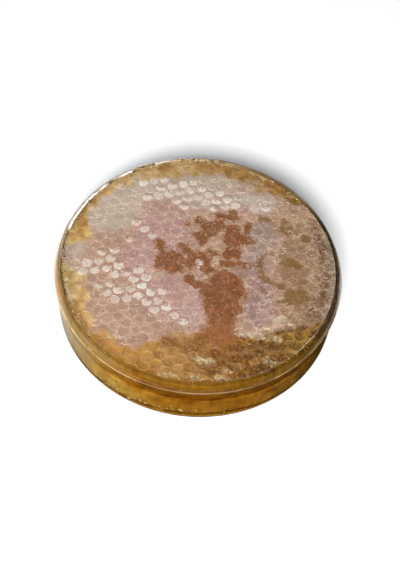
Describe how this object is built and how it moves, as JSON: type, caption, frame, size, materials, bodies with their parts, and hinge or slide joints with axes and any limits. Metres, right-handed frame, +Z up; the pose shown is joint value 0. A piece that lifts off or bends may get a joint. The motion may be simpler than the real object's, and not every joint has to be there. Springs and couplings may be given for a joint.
{
  "type": "round comb honey section in a clear case",
  "caption": "Round slab of capped honeycomb in honey, sealed in a shallow clear plastic case with a press-on lid.",
  "frame": {"origin": "centre of the tray's flat underside", "axes": "+Z up through the lid, -Y the front, +X to the right seen from the front"},
  "size_m": [0.126, 0.126, 0.028],
  "materials": {
    "clear_plastic": "clear, slightly yellowed moulded polystyrene",
    "wax_comb": "wax cappings, pinkish tan in the middle, whiter dry cells, golden towards the rim",
    "honey": "amber honey"
  },
  "bodies": {
    "root": {"tray": "clear_plastic", "lid": "clear_plastic", "comb": "wax_comb", "honey": "honey"}
  },
  "joints": []
}
